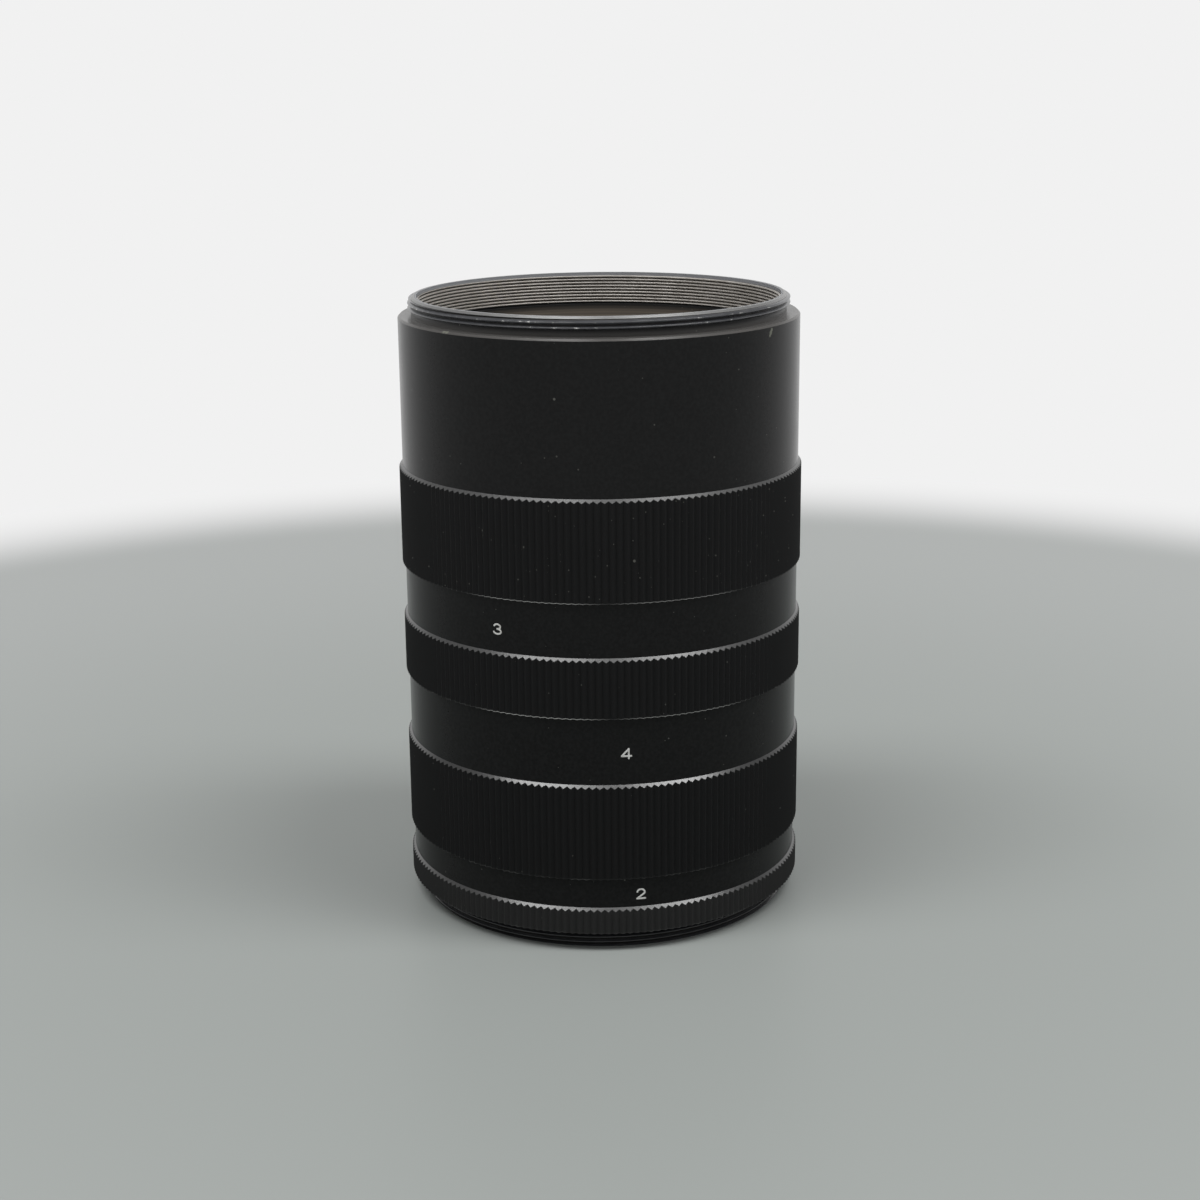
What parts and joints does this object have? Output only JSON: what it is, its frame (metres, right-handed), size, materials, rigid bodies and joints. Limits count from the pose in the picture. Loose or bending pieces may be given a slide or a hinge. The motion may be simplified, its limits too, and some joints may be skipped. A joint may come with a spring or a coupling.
{
  "type": "macro extension tube",
  "caption": "Stack of screw-together aluminium extension tubes with knurled grip rings, a threaded collar at the lens end and a threaded spigot at the camera end.",
  "frame": {"origin": "centre of the base, the end face of the lowest spigot, on the optical axis", "axes": "+Z along the optical axis from the camera end to the lens end, -Y towards the numbered side"},
  "size_m": [0.061, 0.061, 0.0928],
  "materials": {
    "black_anodised": "satin black anodised",
    "engraving_fill": "white paint in the engraved numbers"
  },
  "bodies": {
    "tube_two": {"tube_two": "black_anodised"},
    "tube_four": {"tube_four": "black_anodised"},
    "tube_three": {"tube_three": "black_anodised"},
    "front_tube": {"front_tube": "black_anodised"}
  },
  "joints": [
    {"name": "unscrew_four", "type": "slide", "parent": "tube_two", "child": "tube_four", "axis": [0, 0, 1], "range_m": [0, 0.005]},
    {"name": "unscrew_three", "type": "slide", "parent": "tube_four", "child": "tube_three", "axis": [0, 0, 1], "range_m": [0, 0.005]},
    {"name": "unscrew_front", "type": "slide", "parent": "tube_three", "child": "front_tube", "axis": [0, 0, 1], "range_m": [0, 0.005]}
  ]
}
